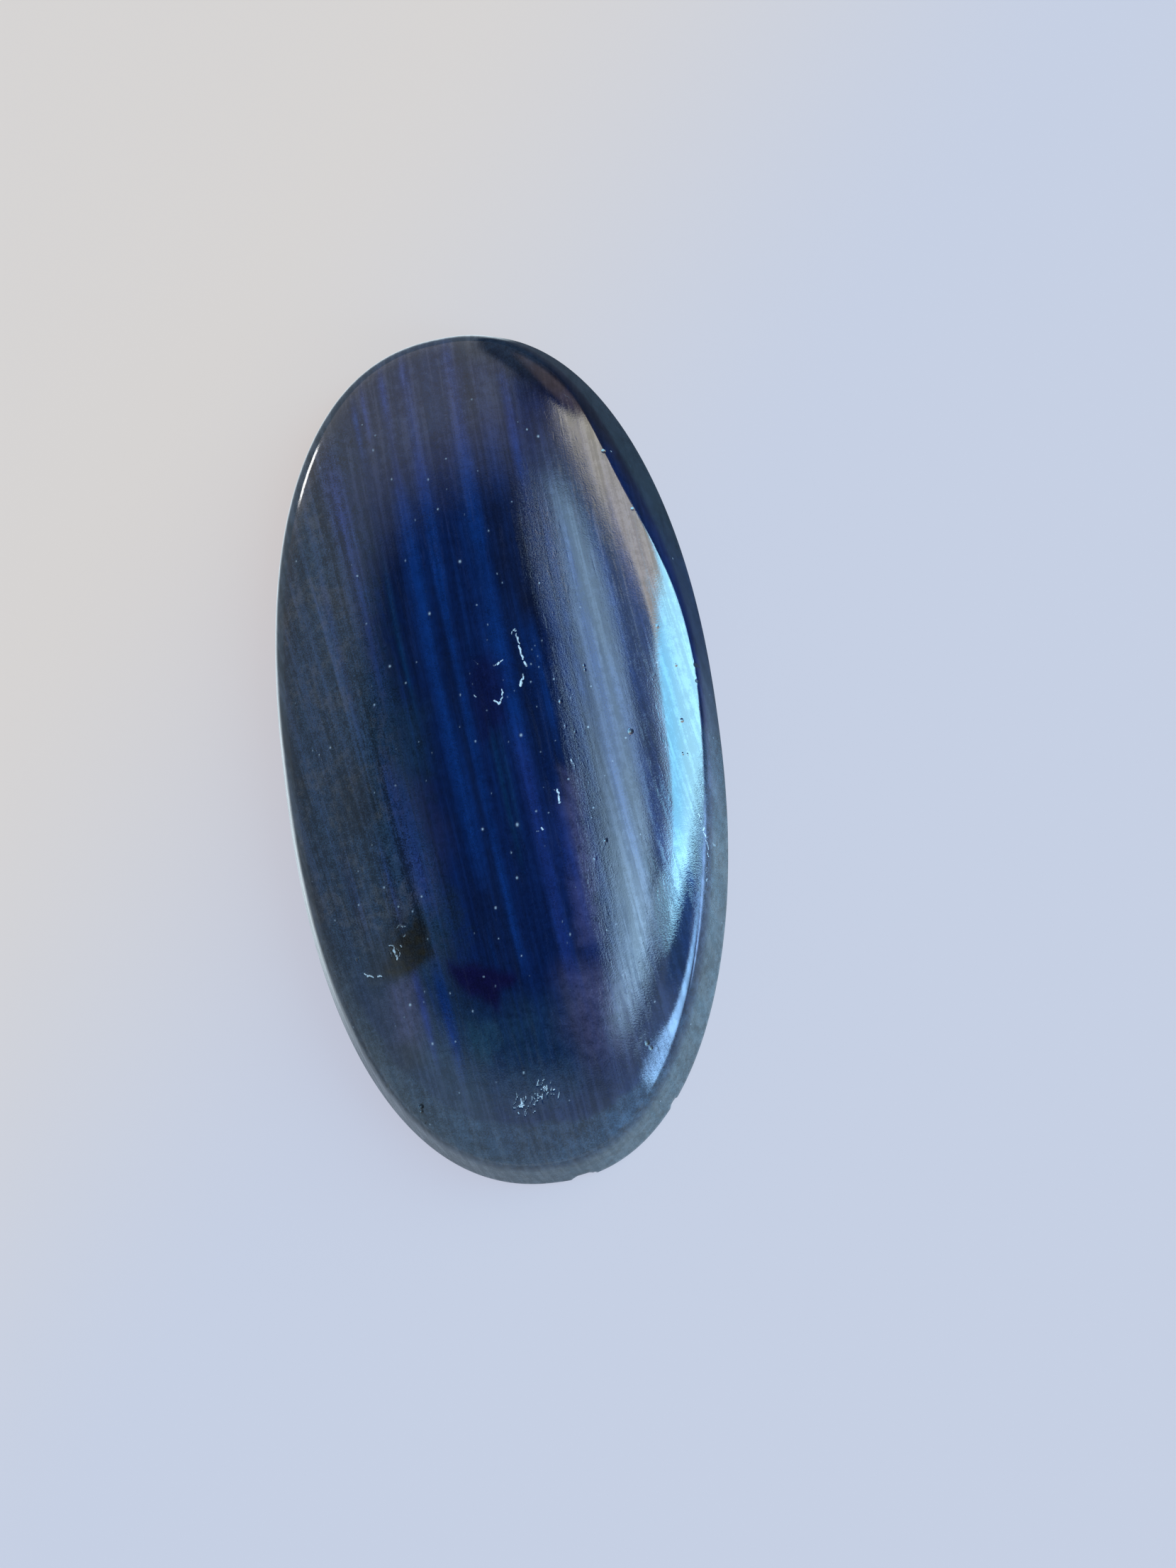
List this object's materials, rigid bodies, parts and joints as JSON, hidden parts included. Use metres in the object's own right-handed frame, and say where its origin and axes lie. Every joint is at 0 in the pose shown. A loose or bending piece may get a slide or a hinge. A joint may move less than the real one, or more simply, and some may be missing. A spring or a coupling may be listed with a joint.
{
  "type": "labradorite stone",
  "caption": "Polished oval labradorite cabochon with a low dome, a rounded shoulder, a leaning ground wall and a flat back, dark with a streaked blue flash.",
  "frame": {"origin": "middle of the flat back, where the stone rests", "axes": "+Y along the oval's long axis, +Z out of the back through the top of the dome, +X across the stone"},
  "size_m": [0.0256, 0.05, 0.0065],
  "materials": {
    "polished_stone": "polished"
  },
  "bodies": {
    "root": {"labradorite_stone": "polished_stone"}
  },
  "joints": []
}
